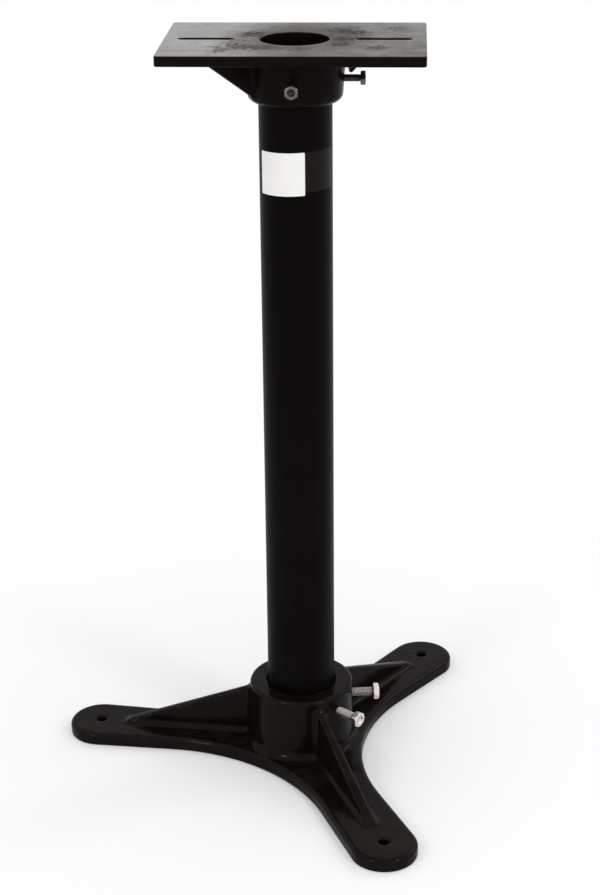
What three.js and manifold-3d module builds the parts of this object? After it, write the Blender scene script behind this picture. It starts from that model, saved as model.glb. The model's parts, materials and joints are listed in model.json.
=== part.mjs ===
// Bench grinder stand: a cast three-legged base, a steel tube column and a cast
// top plate, held together by hex clamp bolts that press on the tube.
// Millimetres and degrees, +Z up. The origin is on the column's axis, on the floor.
import * as THREE from 'three';
import { mergeVertices } from 'three/addons/utils/BufferGeometryUtils.js';
import Module from 'manifold-3d';

// Fits
const SEAT_GAP = 0.3;
const SOCKET_CLEARANCE = 1.5;
const THREAD_CLEARANCE = 0.35;

// Column tube
const COLUMN_DIAMETER = 76.2;
const COLUMN_WALL = 2.5;
const COLUMN_LENGTH = 797.2;
const COLUMN_EDGE = 0.5;

// Base casting: legs
const LEG_COUNT = 3;
const LEG_THICKNESS = 15;
const LEG_EDGE_RADIUS = 5;
const PAD_REACH = 239.6;
const PAD_END_RADIUS = 36.9;
const NECK_INSET = 2.5;
const NECK_TO_PAD = 97.1;
const FLOOR_HOLE_DIAMETER = 11;
const POCKET_DEPTH = 5;
const POCKET_RIM = 9;
const POCKET_TO_PAD_EDGE = 6;

// Base casting: hub and ribs
const HUB_HEIGHT = 88.2;
const HUB_WALL = 20.4;
const HUB_DRAFT = 1;
const HUB_RIM_RADIUS = 4;
const HUB_FOOT_FILLET = 9;
const HUB_MOUTH_CHAMFER = 1;
const RIB_THICKNESS = 12;
const RIB_EDGE_RADIUS = 3;
const RIB_FOOT_FILLET = 7;
const RIB_BELOW_HUB_TOP = 14;
const RIB_NOSE_TO_PAD = 30;
const RIB_NOSE_HEIGHT = 5.5;
const RIB_NOSE_LENGTH = 9;
const BASE_TURN = -5.6;

// Top plate casting: plate
const PLATE_WIDTH = 266.4;
const PLATE_DEPTH = 175;
const PLATE_THICKNESS = 11.2;
const PLATE_CORNER_RADIUS = 4;
const PLATE_EDGE = 0.8;
const PLATE_LIP = 2.9;
const SLOT_TO_PLATE_END = 14.4;
const SLOT_LENGTH = 57.1;
const SLOT_WIDTH = 11;

// Top plate casting: socket and webs
const SOCKET_DEPTH = 51;
const SOCKET_WALL = 9;
const SOCKET_DRAFT = 3.6;
const SOCKET_RIM_RADIUS = 7.5;
const SOCKET_FILLET = 5;
const WEB_THICKNESS = 8;
const WEB_EDGE_RADIUS = 2;
const WEB_REACH = 107.5;
const WEB_FOOT_RISE = 6.7;
const RELIEF_WIDTH = 11.5;
const RELIEF_TO_SOCKET = 5.6;
const RELIEF_BELOW_PLATE = 23;

// Hex clamp bolts: M10 in the base and M8 in the top plate
const BASE_BOLT_DIAMETER = 10;
const BASE_BOLT_FLATS = 16;
const BASE_BOLT_HEAD_HEIGHT = 6.4;
const BASE_BOLT_LENGTH = 45;
const BASE_BOLT_DROP = 21.2;
const PLATE_BOLT_DIAMETER = 8;
const PLATE_BOLT_FLATS = 13;
const PLATE_BOLT_HEAD_HEIGHT = 5.3;
const PLATE_BOLT_LENGTH = 28.2;
const PLATE_BOLT_DROP = 28.5;
const BOLT_TIP_CHAMFER = 1.2;
const BOLT_HEAD_CHAMFER = 1.4;
const BOLT_FACE_HEIGHT = 0.5;

// Where each bolt stands round the column, and how far its head is turned from flats level
const BASE_BOLTS = {
  base_clamp_bolt_rear: { angle: 12, headTurn: 0 },
  base_clamp_bolt_front: { angle: -34, headTurn: 30 },
};
const PLATE_BOLTS = {
  plate_clamp_bolt_right: { angle: 0, headTurn: 0 },
  plate_clamp_bolt_front: { angle: -90, headTurn: 30 },
};

// Fineness of round faces, and how far joined bodies reach into each other
const ROUND_STEPS = 64;
const BOLT_STEPS = 24;
const HEX_SIDES = 6;
const ARC_STEPS = 9;
const PROFILE_STEPS = 5;
const EDGE_STEPS = 3;
const OVERLAP = 1;
const WELD = 1e-4;

// Sizes that follow from the ones above
const columnRadius = COLUMN_DIAMETER / 2;
const columnFoot = LEG_THICKNESS + SEAT_GAP;
const columnTop = columnFoot + COLUMN_LENGTH;
const boreRadius = columnRadius + SOCKET_CLEARANCE;
const hubRadius = boreRadius + HUB_WALL;
const ribRoot = boreRadius + HUB_WALL / 2;
const plateBottom = columnTop + SEAT_GAP;
const socketBottom = plateBottom - SOCKET_DEPTH;
const plateHoleRadius = columnRadius - PLATE_LIP;
const boltTipReach = columnRadius + SEAT_GAP;
const webAngle = THREE.MathUtils.radToDeg(Math.atan2(PLATE_DEPTH, PLATE_WIDTH));
const baseBolt = {
  diameter: BASE_BOLT_DIAMETER,
  flats: BASE_BOLT_FLATS,
  headHeight: BASE_BOLT_HEAD_HEIGHT,
  length: BASE_BOLT_LENGTH,
  height: HUB_HEIGHT - BASE_BOLT_DROP,
};
const plateBolt = {
  diameter: PLATE_BOLT_DIAMETER,
  flats: PLATE_BOLT_FLATS,
  headHeight: PLATE_BOLT_HEAD_HEIGHT,
  length: PLATE_BOLT_LENGTH,
  height: plateBottom - PLATE_BOLT_DROP,
};

const wasm = await Module();
wasm.setup();

// A closed geometry as a solid that can be joined and cut.
function toSolid(geometry) {
  geometry.deleteAttribute('normal');
  geometry.deleteAttribute('uv');
  const welded = mergeVertices(geometry, WELD);
  const corners = welded.index.array;
  const triangles = [];
  for (let i = 0; i < corners.length; i += 3) {
    const [a, b, c] = [corners[i], corners[i + 1], corners[i + 2]];
    if (a !== b && b !== c && c !== a) triangles.push(a, b, c);
  }
  return new wasm.Manifold(new wasm.Mesh({
    numProp: 3,
    vertProperties: new Float32Array(welded.attributes.position.array),
    triVerts: new Uint32Array(triangles),
  }));
}

function toGeometry(solid) {
  const mesh = solid.getMesh();
  const geometry = new THREE.BufferGeometry();
  geometry.setAttribute('position', new THREE.BufferAttribute(mesh.vertProperties, 3));
  geometry.setIndex(new THREE.BufferAttribute(mesh.triVerts, 1));
  geometry.computeVertexNormals();
  return geometry;
}

function joined(solids) {
  return solids.reduce((whole, solid) => whole.add(solid));
}

function without(solid, cutters) {
  return cutters.reduce((rest, cutter) => rest.subtract(cutter), solid);
}

// A body turned about the Z axis from a path of radius and height, listed upwards on
// its outside.
function turned(path, steps = ROUND_STEPS) {
  const geometry = new THREE.LatheGeometry(path.getPoints(PROFILE_STEPS), steps);
  return geometry.rotateX(Math.PI / 2);
}

// A flat outline raised along Z from the height given.
function raised(outline, bottom, height) {
  const options = { depth: height, bevelEnabled: false, curveSegments: ARC_STEPS };
  return new THREE.ExtrudeGeometry(outline, options).translate(0, 0, bottom);
}

// A flat outline raised along Z, with all its edges rounded or, in one step, chamfered.
function easedBlock(outline, bottom, height, edge, steps) {
  const options = {
    depth: height - 2 * edge,
    bevelThickness: edge,
    bevelSize: edge,
    bevelOffset: -edge,
    bevelSegments: steps,
    curveSegments: ARC_STEPS,
  };
  return new THREE.ExtrudeGeometry(outline, options).translate(0, 0, bottom + edge);
}

// A block drawn flat as radius and height, stood up in the XZ plane about y = 0.
function stoodUp(geometry, thickness) {
  return geometry.translate(0, 0, -thickness / 2).rotateX(Math.PI / 2);
}

function turnedTo(geometry, degrees) {
  return geometry.rotateZ(THREE.MathUtils.degToRad(degrees));
}

function roundRod(radius, length, steps) {
  return new THREE.CylinderGeometry(radius, radius, length, steps).rotateX(Math.PI / 2);
}

// A straight slot with round ends, from one end to the other along X.
function slotOutline(Outline, start, end, halfWidth) {
  const outline = new Outline();
  outline.absarc(end - halfWidth, 0, halfWidth, -Math.PI / 2, Math.PI / 2);
  outline.absarc(start + halfWidth, 0, halfWidth, Math.PI / 2, Math.PI * 1.5);
  return outline;
}

// A clamp bolt's hole, square to the column's axis, from the bore to past the wall.
function clampHole(degrees, bolt, wall) {
  const radius = bolt.diameter / 2 + THREAD_CLEARANCE;
  const reach = wall + bolt.diameter;
  const hole = roundRod(radius, reach, BOLT_STEPS).rotateY(Math.PI / 2);
  hole.translate(columnRadius + reach / 2, 0, bolt.height);
  return toSolid(turnedTo(hole, degrees));
}

// The base seen from above: round pads on narrow necks, joined by hollow waist arcs that
// run straight on into the pads.
function legOutline() {
  const sector = Math.PI / LEG_COUNT;
  const neckHalfWidth = PAD_END_RADIUS - NECK_INSET;
  const neckReach = PAD_REACH - NECK_TO_PAD;
  const waistReach = neckReach / Math.cos(sector);
  const waistRadius = waistReach * Math.sin(sector) - neckHalfWidth;
  const toPad = new THREE.Vector2(NECK_TO_PAD, -neckHalfWidth - waistRadius);
  const spread = Math.acos((waistRadius + PAD_END_RADIUS) / toPad.length());
  const tangent = Math.atan2(toPad.y, toPad.x) - spread;
  const padSweep = Math.PI + tangent;
  const waistSweep = tangent + Math.PI - sector;
  const outline = new THREE.Shape();
  for (let leg = 0; leg < LEG_COUNT; leg += 1) {
    const along = Math.PI + 2 * sector * leg;
    const padX = PAD_REACH * Math.cos(along);
    const padY = PAD_REACH * Math.sin(along);
    outline.absarc(padX, padY, PAD_END_RADIUS, along - padSweep, along + padSweep);
    const across = along + sector;
    const waistX = waistReach * Math.cos(across);
    const waistY = waistReach * Math.sin(across);
    const inward = across + Math.PI;
    outline.absarc(waistX, waistY, waistRadius, inward + waistSweep, inward - waistSweep, true);
  }
  return outline;
}

// The leg plate: round upper edges, a flat underside, and under each neck a shallow relief.
function legPlate() {
  const spare = 2 * LEG_EDGE_RADIUS;
  const height = LEG_THICKNESS + spare;
  const block = easedBlock(legOutline(), -spare, height, LEG_EDGE_RADIUS, EDGE_STEPS);
  const span = 2 * (PAD_REACH + PAD_END_RADIUS) + spare;
  const floor = new THREE.BoxGeometry(span, span, 2 * spare).translate(0, 0, -spare);
  const pocketEnd = PAD_REACH - PAD_END_RADIUS - POCKET_TO_PAD_EDGE;
  const pocketStart = hubRadius + HUB_FOOT_FILLET;
  const pocketHalfWidth = PAD_END_RADIUS - NECK_INSET - POCKET_RIM;
  const cutters = [toSolid(floor)];
  for (let leg = 0; leg < LEG_COUNT; leg += 1) {
    const degrees = 180 + (360 / LEG_COUNT) * leg;
    const relief = slotOutline(THREE.Shape, pocketStart, pocketEnd, pocketHalfWidth);
    const pocket = raised(relief, -OVERLAP, POCKET_DEPTH + OVERLAP);
    cutters.push(toSolid(turnedTo(pocket, degrees)));
    const hole = roundRod(FLOOR_HOLE_DIAMETER / 2, 2 * LEG_THICKNESS + spare, BOLT_STEPS);
    hole.translate(PAD_REACH, 0, 0);
    cutters.push(toSolid(turnedTo(hole, degrees)));
  }
  return without(toSolid(block), cutters);
}

// The hub that stands round the column's foot: filleted into the leg plate, slightly
// drafted, with a round rim.
function hub() {
  const topRadius = hubRadius - HUB_DRAFT;
  const rimStart = HUB_HEIGHT - HUB_RIM_RADIUS;
  const filletTop = LEG_THICKNESS + HUB_FOOT_FILLET;
  const mouthRadius = boreRadius + HUB_MOUTH_CHAMFER;
  const foot = LEG_THICKNESS - OVERLAP;
  const path = new THREE.Path();
  path.moveTo(boreRadius, foot);
  path.lineTo(hubRadius + HUB_FOOT_FILLET, foot);
  path.lineTo(hubRadius + HUB_FOOT_FILLET, LEG_THICKNESS);
  path.quadraticCurveTo(hubRadius, LEG_THICKNESS, hubRadius, filletTop);
  path.lineTo(topRadius, rimStart);
  path.quadraticCurveTo(topRadius, HUB_HEIGHT, topRadius - HUB_RIM_RADIUS, HUB_HEIGHT);
  path.lineTo(mouthRadius, HUB_HEIGHT);
  path.lineTo(boreRadius, HUB_HEIGHT - HUB_MOUTH_CHAMFER);
  path.lineTo(boreRadius, foot);
  return toSolid(turned(path));
}

// A leg's rib from the side: from just under the hub's rim straight down to a round nose
// at the pad.
function ribOutline() {
  const foot = LEG_THICKNESS - 2 * RIB_EDGE_RADIUS;
  const noseReach = PAD_REACH - RIB_NOSE_TO_PAD;
  const noseTop = LEG_THICKNESS + RIB_NOSE_HEIGHT;
  const outline = new THREE.Shape();
  outline.moveTo(ribRoot, foot);
  outline.lineTo(noseReach, foot);
  outline.lineTo(noseReach, LEG_THICKNESS);
  outline.quadraticCurveTo(noseReach, noseTop, noseReach - RIB_NOSE_LENGTH, noseTop);
  outline.lineTo(hubRadius, HUB_HEIGHT - RIB_BELOW_HUB_TOP);
  outline.lineTo(ribRoot, HUB_HEIGHT - RIB_BELOW_HUB_TOP);
  return outline;
}

// A rib end on: the hollow fillets that lead its two sides into the leg plate.
function ribFootOutline() {
  const half = RIB_THICKNESS / 2;
  const wide = half + RIB_FOOT_FILLET;
  const foot = LEG_THICKNESS - OVERLAP;
  const filletTop = LEG_THICKNESS + RIB_FOOT_FILLET;
  const outline = new THREE.Shape();
  outline.moveTo(-wide, foot);
  outline.lineTo(wide, foot);
  outline.lineTo(wide, LEG_THICKNESS);
  outline.quadraticCurveTo(half, LEG_THICKNESS, half, filletTop);
  outline.lineTo(-half, filletTop);
  outline.quadraticCurveTo(-half, LEG_THICKNESS, -wide, LEG_THICKNESS);
  return outline;
}

function rib(degrees) {
  const wall = easedBlock(ribOutline(), 0, RIB_THICKNESS, RIB_EDGE_RADIUS, EDGE_STEPS);
  const footLength = PAD_REACH - RIB_NOSE_TO_PAD - ribRoot;
  const foot = raised(ribFootOutline(), 0, footLength);
  foot.rotateX(Math.PI / 2).rotateZ(Math.PI / 2).translate(ribRoot, 0, 0);
  const footWidth = RIB_THICKNESS + 2 * RIB_FOOT_FILLET + OVERLAP;
  const profile = stoodUp(raised(ribOutline(), 0, footWidth), footWidth);
  const fillets = toSolid(turnedTo(foot, degrees)).intersect(toSolid(turnedTo(profile, degrees)));
  return toSolid(turnedTo(stoodUp(wall, RIB_THICKNESS), degrees)).add(fillets);
}

function baseCasting() {
  const pieces = [legPlate(), hub()];
  for (let leg = 0; leg < LEG_COUNT; leg += 1) pieces.push(rib(180 + (360 / LEG_COUNT) * leg));
  const holes = Object.values(BASE_BOLTS).map(({ angle }) => clampHole(angle, baseBolt, HUB_WALL));
  return toGeometry(without(joined(pieces), holes));
}

function columnTube() {
  const inner = columnRadius - COLUMN_WALL;
  const path = new THREE.Path();
  path.moveTo(inner, columnFoot);
  path.lineTo(columnRadius - COLUMN_EDGE, columnFoot);
  path.lineTo(columnRadius, columnFoot + COLUMN_EDGE);
  path.lineTo(columnRadius, columnTop - COLUMN_EDGE);
  path.lineTo(columnRadius - COLUMN_EDGE, columnTop);
  path.lineTo(inner, columnTop);
  path.lineTo(inner, columnFoot);
  return toGeometry(toSolid(turned(path)));
}

// The plate: a rounded rectangle with a hole over the column and a slot on each side.
function plate() {
  const x = PLATE_WIDTH / 2;
  const y = PLATE_DEPTH / 2;
  const r = PLATE_CORNER_RADIUS;
  const outline = new THREE.Shape();
  outline.absarc(x - r, y - r, r, 0, Math.PI / 2);
  outline.absarc(r - x, y - r, r, Math.PI / 2, Math.PI);
  outline.absarc(r - x, r - y, r, Math.PI, Math.PI * 1.5);
  outline.absarc(x - r, r - y, r, Math.PI * 1.5, Math.PI * 2);
  const centre = new THREE.Path();
  centre.absarc(0, 0, plateHoleRadius, 0, Math.PI);
  centre.absarc(0, 0, plateHoleRadius, Math.PI, Math.PI * 2);
  const slotEnd = x - SLOT_TO_PLATE_END;
  const slotStart = slotEnd - SLOT_LENGTH;
  const right = slotOutline(THREE.Path, slotStart, slotEnd, SLOT_WIDTH / 2);
  const left = slotOutline(THREE.Path, -slotEnd, -slotStart, SLOT_WIDTH / 2);
  outline.holes.push(centre, right, left);
  return toSolid(easedBlock(outline, plateBottom, PLATE_THICKNESS, PLATE_EDGE, 1));
}

const socketFootRadius = boreRadius + SOCKET_WALL;
const socketTopRadius = socketFootRadius + SOCKET_DRAFT;

// The socket under the plate: it widens upwards, with a round rim and a fillet at the plate.
function socket() {
  const top = plateBottom + OVERLAP;
  const path = new THREE.Path();
  path.moveTo(boreRadius, socketBottom);
  path.lineTo(socketFootRadius - SOCKET_RIM_RADIUS, socketBottom);
  path.quadraticCurveTo(
    socketFootRadius, socketBottom, socketFootRadius, socketBottom + SOCKET_RIM_RADIUS,
  );
  path.lineTo(socketTopRadius, plateBottom - SOCKET_FILLET);
  path.quadraticCurveTo(
    socketTopRadius, plateBottom, socketTopRadius + SOCKET_FILLET, plateBottom,
  );
  path.lineTo(socketTopRadius + SOCKET_FILLET, top);
  path.lineTo(boreRadius, top);
  path.lineTo(boreRadius, socketBottom);
  return toSolid(turned(path));
}

// A web that carries the plate towards one corner.
function web(degrees) {
  const top = plateBottom + 2 * WEB_EDGE_RADIUS;
  const root = boreRadius + SOCKET_WALL / 2;
  const rise = socketBottom + WEB_FOOT_RISE;
  const outline = new THREE.Shape();
  outline.moveTo(root, rise);
  outline.lineTo(socketFootRadius, rise);
  outline.lineTo(WEB_REACH, plateBottom);
  outline.lineTo(WEB_REACH, top);
  outline.lineTo(root, top);
  const wall = easedBlock(outline, 0, WEB_THICKNESS, WEB_EDGE_RADIUS, EDGE_STEPS);
  return toSolid(turnedTo(stoodUp(wall, WEB_THICKNESS), degrees));
}

// The space of a round-topped relief that is cut up into a web beside the socket.
function webRelief(degrees) {
  const wide = 2 * WEB_THICKNESS;
  const top = plateBottom - RELIEF_BELOW_PLATE;
  const middle = socketFootRadius + RELIEF_TO_SOCKET + RELIEF_WIDTH / 2;
  const outline = slotOutline(THREE.Shape, socketBottom, top, RELIEF_WIDTH / 2);
  const space = raised(outline, 0, wide).rotateZ(Math.PI / 2).translate(middle, 0, 0);
  return toSolid(turnedTo(stoodUp(space, wide), degrees));
}

function topPlate() {
  const pieces = [plate(), socket(), web(webAngle), web(webAngle + 180)];
  const wall = SOCKET_WALL + SOCKET_DRAFT;
  const holes = Object.values(PLATE_BOLTS).map(({ angle }) => clampHole(angle, plateBolt, wall));
  return toGeometry(without(joined(pieces), [...holes, webRelief(webAngle)]));
}

// A hex bolt along Z with its tip at the origin: a chamfered tip, a plain shank, a washer
// face and a head whose corners are turned off.
function hexBolt({ diameter, flats, headHeight, length }) {
  const radius = diameter / 2;
  const flat = flats / 2;
  const headBottom = length + BOLT_FACE_HEIGHT;
  const headTop = length + headHeight;
  const corner = flat / Math.cos(Math.PI / HEX_SIDES);
  const shank = new THREE.Path();
  shank.moveTo(0, 0);
  shank.lineTo(radius - BOLT_TIP_CHAMFER, 0);
  shank.lineTo(radius, BOLT_TIP_CHAMFER);
  shank.lineTo(radius, length);
  shank.lineTo(flat, length);
  shank.lineTo(flat, headBottom + OVERLAP);
  shank.lineTo(0, headBottom + OVERLAP);
  const envelope = new THREE.Path();
  envelope.moveTo(0, headBottom);
  envelope.lineTo(corner + OVERLAP, headBottom);
  envelope.lineTo(corner + OVERLAP, headTop - BOLT_HEAD_CHAMFER);
  envelope.lineTo(flat, headTop);
  envelope.lineTo(0, headTop);
  const prism = roundRod(corner, headTop - headBottom, HEX_SIDES);
  prism.translate(0, 0, (headTop + headBottom) / 2);
  const head = toSolid(prism).intersect(toSolid(turned(envelope, BOLT_STEPS)));
  return toGeometry(toSolid(turned(shank, BOLT_STEPS)).add(head));
}

const castBlack = { color: 0x1d1a19, roughness: 0.42, metalness: 0.1 };
const tubeBlack = { color: 0x0d0c0c, roughness: 0.3, metalness: 0.1 };
const zinc = { color: 0xc9c6c2, roughness: 0.28, metalness: 1 };

function piece(name, geometry, finish) {
  const mesh = new THREE.Mesh(geometry, new THREE.MeshStandardMaterial(finish));
  mesh.name = name;
  return mesh;
}

// Clamp bolts round the column's axis, heads outwards and tips against the tube.
function clampBolts(places, size) {
  const bolts = new THREE.Group();
  for (const [name, { angle, headTurn }] of Object.entries(places)) {
    const station = new THREE.Group();
    const bolt = piece(name, hexBolt(size), zinc);
    bolt.position.set(boltTipReach, 0, size.height);
    bolt.rotation.set(0, Math.PI / 2, THREE.MathUtils.degToRad(headTurn));
    station.rotation.z = THREE.MathUtils.degToRad(angle);
    station.add(bolt);
    bolts.add(station);
  }
  return bolts;
}

const base = new THREE.Group();
base.rotation.z = THREE.MathUtils.degToRad(BASE_TURN);
base.add(piece('base_casting', baseCasting(), castBlack));
base.add(clampBolts(BASE_BOLTS, baseBolt));

const head = new THREE.Group();
head.add(piece('top_plate', topPlate(), castBlack));
head.add(clampBolts(PLATE_BOLTS, plateBolt));

const stand = new THREE.Group();
stand.add(base, piece('column_tube', columnTube(), tubeBlack), head);

export default stand;
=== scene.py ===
import json
import math
from collections import namedtuple

import bmesh
import bpy
import numpy as np
from mathutils import Matrix, Vector, noise


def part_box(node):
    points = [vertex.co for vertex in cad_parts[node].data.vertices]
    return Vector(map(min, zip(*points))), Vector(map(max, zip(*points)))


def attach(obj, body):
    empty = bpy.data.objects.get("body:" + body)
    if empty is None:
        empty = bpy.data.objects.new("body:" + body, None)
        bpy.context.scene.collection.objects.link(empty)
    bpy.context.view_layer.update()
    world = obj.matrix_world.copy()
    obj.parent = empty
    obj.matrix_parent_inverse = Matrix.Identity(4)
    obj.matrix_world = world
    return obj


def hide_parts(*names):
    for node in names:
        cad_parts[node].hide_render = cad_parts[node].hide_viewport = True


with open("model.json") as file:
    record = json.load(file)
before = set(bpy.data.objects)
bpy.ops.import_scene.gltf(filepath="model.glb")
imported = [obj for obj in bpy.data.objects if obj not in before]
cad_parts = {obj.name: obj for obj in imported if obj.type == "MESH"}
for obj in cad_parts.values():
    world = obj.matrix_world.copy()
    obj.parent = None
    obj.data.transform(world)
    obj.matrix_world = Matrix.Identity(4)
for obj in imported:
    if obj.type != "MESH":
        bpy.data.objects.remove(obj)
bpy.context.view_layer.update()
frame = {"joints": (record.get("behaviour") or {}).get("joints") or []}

# Metres and radians, in the stand's own frame: the column's axis is Z, the floor is z = 0,
# and the plate's front edge faces -Y.

# Sizes read from the frame
TUBE_LOW, TUBE_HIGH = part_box("column_tube")
PLATE_LOW, PLATE_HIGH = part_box("top_plate")
HUB_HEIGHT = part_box("base_casting")[1].z
TUBE_RADIUS = TUBE_HIGH.x
SEAT_GAP = 0.0003
LEG_THICKNESS = TUBE_LOW.z - SEAT_GAP
PLATE_BOTTOM = TUBE_HIGH.z + SEAT_GAP
PLATE_TOP = PLATE_HIGH.z
PLATE_THICKNESS = PLATE_TOP - PLATE_BOTTOM
JOINTS = {joint["name"]: joint for joint in frame["joints"]}

# Sizes of the column tube and of the bores that take it
TUBE_WALL = 0.0025
TUBE_LIP = 0.0005
SOCKET_CLEARANCE = 0.0015
BORE_RADIUS = TUBE_RADIUS + SOCKET_CLEARANCE

# Sizes of the base casting
LEG_COUNT = 3
LEG_TURN = math.radians(-5.6)
LEG_EDGE_RADIUS = 0.005
PAD_REACH = 0.2396
PAD_END_RADIUS = 0.0367
NECK_HALF_WIDTH = 0.0344
NECK_TO_PAD = 0.0971
NECK_REACH = PAD_REACH - NECK_TO_PAD
FLOOR_HOLE_RADIUS = 0.0055
HOLE_EDGE = 0.0028
HUB_WALL = 0.0204
HUB_RADIUS = BORE_RADIUS + HUB_WALL
HUB_DRAFT = 0.001
HUB_RIM_RADIUS = 0.004
HUB_FOOT_FILLET = 0.009
POCKET_DEPTH = 0.005
POCKET_RIM = 0.009
POCKET_TO_PAD_EDGE = 0.006
POCKET_START = HUB_RADIUS + HUB_FOOT_FILLET
POCKET_END = PAD_REACH - PAD_END_RADIUS - POCKET_TO_PAD_EDGE
POCKET_HALF_WIDTH = NECK_HALF_WIDTH - POCKET_RIM
RIB_HALF_THICKNESS = 0.006
RIB_DRAFT = 0.0018
RIB_EDGE_RADIUS = 0.003
RIB_FILLET = 0.007
RIB_BELOW_HUB_TOP = 0.014
RIB_TOP = HUB_HEIGHT - RIB_BELOW_HUB_TOP
RIB_NOSE_TO_PAD = 0.030
RIB_NOSE_REACH = PAD_REACH - RIB_NOSE_TO_PAD
RIB_NOSE_HEIGHT = 0.0055
RIB_NOSE_TOP = LEG_THICKNESS + RIB_NOSE_HEIGHT
RIB_NOSE_RADIUS = 0.008
MOULD_EDGE = 0.001
FOOT_EDGE = 0.0021

# Sizes of the top plate casting
PLATE_CORNER_RADIUS = 0.004
PLATE_EDGE_RADIUS = 0.0015
PLATE_LIP = 0.0029
PLATE_HOLE_RADIUS = TUBE_RADIUS - PLATE_LIP
SLOT_TO_PLATE_END = 0.0144
SLOT_END = PLATE_HIGH.x - SLOT_TO_PLATE_END
SLOT_LENGTH = 0.0571
SLOT_HALF_WIDTH = 0.0055
SOCKET_BOTTOM = PLATE_LOW.z
SOCKET_WALL = 0.009
SOCKET_FOOT_RADIUS = BORE_RADIUS + SOCKET_WALL
SOCKET_DRAFT = 0.0036
SOCKET_RIM_RADIUS = 0.0075
CASTING_FILLET = 0.005
WEB_HALF_THICKNESS = 0.004
WEB_EDGE_RADIUS = 0.003
WEB_REACH = 0.1075
WEB_FOOT_RISE = 0.0067
WEB_ANGLE = math.atan2(PLATE_HIGH.y, PLATE_HIGH.x)
RELIEF_HALF_WIDTH = 0.00575
RELIEF_TO_SOCKET = 0.0056
RELIEF_REACH = SOCKET_FOOT_RADIUS + RELIEF_TO_SOCKET + RELIEF_HALF_WIDTH
RELIEF_BELOW_PLATE = 0.023
RELIEF_TOP = PLATE_BOTTOM - RELIEF_BELOW_PLATE
# How far the socket's root reaches into the plate, and its fillet into the plate's underside
PLATE_OVERLAP = 0.003
FILLET_BITE = 0.00015
# How far below the plate's upper face the paint ends and the bare ground iron starts
PAINT_BELOW_TOP = 0.0008
IRON_BELOW_TOP = 0.0003
# Depths of the cast skin and of the grinding marks, and how strongly they show
CAST_SKIN_DEPTH = 0.0007
GRINDING_DEPTH = 0.00006
SKIN_STRENGTH = 0.35
# Brown stains on the ground face: each one's place, its radius and how dark it is
PLATE_STAINS = (
    (-0.062, -0.042, 0.030, 0.48),
    (-0.041, -0.046, 0.024, 0.42),
    (-0.022, -0.049, 0.024, 0.42),
    (0.006, -0.052, 0.024, 0.38),
    (-0.060, -0.015, 0.022, 0.34),
    (-0.044, 0.023, 0.026, 0.50),
    (-0.073, -0.064, 0.020, 0.30),
    (0.050, -0.002, 0.022, 0.54),
    (0.048, -0.029, 0.020, 0.52),
    (0.049, 0.045, 0.028, 0.46),
    (0.066, 0.032, 0.024, 0.36),
    (0.082, -0.046, 0.024, 0.48),
    (0.100, 0.052, 0.020, 0.36),
)

# Sizes of the clamp bolts: M10 in the base and M8 in the top plate
Bolt = namedtuple("Bolt", "radius hole_radius pitch flat_radius head_height length")
BASE_BOLT = Bolt(
    radius=0.0049, hole_radius=0.00535, pitch=0.0015,
    flat_radius=0.0080, head_height=0.0064, length=0.0450,
)
PLATE_BOLT = Bolt(
    radius=0.0039, hole_radius=0.00435, pitch=0.00125,
    flat_radius=0.0065, head_height=0.0053, length=0.0282,
)
BOLT_TIP_REACH = TUBE_RADIUS + SEAT_GAP
BOLT_TIP_CHAMFER = 0.0012
BOLT_SIDES = 48
# A thread's depth as a share of its pitch, how steep its flanks are and its rows in one turn
THREAD_SHARE = 0.54
THREAD_STEEPNESS = 1.35
THREAD_ROWS = 8
# The head's washer face, chamfer and dish, with shares of the radius across its flats
HEAD_FACE_HEIGHT = 0.0005
HEAD_FACE_SHARE = 0.97
HEAD_TOP_SHARE = 0.94
HEAD_CHAMFER_HEIGHT = 0.0011
HEAD_CHAMFER_ANGLE = math.radians(30)
HEAD_CHAMFER_ROWS = 5
HEAD_DISH_SHARE = 0.60
HEAD_DISH_DEPTH = 0.0022
HEAD_DISH_TAPER = 0.55
HEAD_DISH_STEPS = (0, 0.5, 0.85, 1)
HEX_SECTOR = math.pi / 3
CORNER_UP = HEX_SECTOR / 2
Clamp = namedtuple("Clamp", "body joint size head_turn")
CLAMP_BOLTS = {
    "base_clamp_bolt_rear":
        Clamp("base_bolt_rear", "base_rear_bolt_travel", BASE_BOLT, 0),
    "base_clamp_bolt_front":
        Clamp("base_bolt_front", "base_front_bolt_travel", BASE_BOLT, CORNER_UP),
    "plate_clamp_bolt_right":
        Clamp("plate_bolt_right", "plate_right_bolt_travel", PLATE_BOLT, 0),
    "plate_clamp_bolt_front":
        Clamp("plate_bolt_front", "plate_front_bolt_travel", PLATE_BOLT, CORNER_UP),
}

# Stickers on the tube: the angles round the column, the heights and how far each one tilts
Sticker = namedtuple("Sticker", "start end low high slope")
WHITE_STICKER = Sticker(math.radians(-152.3), math.radians(-72.9), 0.6696, 0.7146, 0.043)
DARK_STICKER = Sticker(math.radians(-72.2), math.radians(-16.3), 0.6740, 0.7160, 0.004)
STICKER_FRONT_LIFT = 0.00018
STICKER_BACK_LIFT = 0.00002
STICKER_CORNER = 0.0012
STICKER_CORNER_ROWS = 6
STICKER_ROWS = 16
STICKER_COLUMNS = 48

# Fineness of the castings, and how many cells a grid reaches past its casting: the half cell
# keeps the grid's points off the floor
CASTING_STEP = 0.0016
SOCKET_STEP = 0.0011
GRID_MARGIN = 2
FLOOR_MARGIN = 1.5
# The share of a cell over which a slope is measured, the gentlest slope that is trusted, and
# the rounds of sliding points onto a surface, evening them out and sliding them back
NUDGE_SHARE = 0.05
GENTLEST_SLOPE = 0.5
SLIDE_ROUNDS = 4
EVEN_ROUNDS = 4
RESEAT_ROUNDS = 2
# Waves of the cast skin, which leave out faces that look further down than this
SKIN_WAVE = 0.00022
SKIN_WAVE_LENGTH = 0.016
UNDERSIDE_TILT = -0.5

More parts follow.
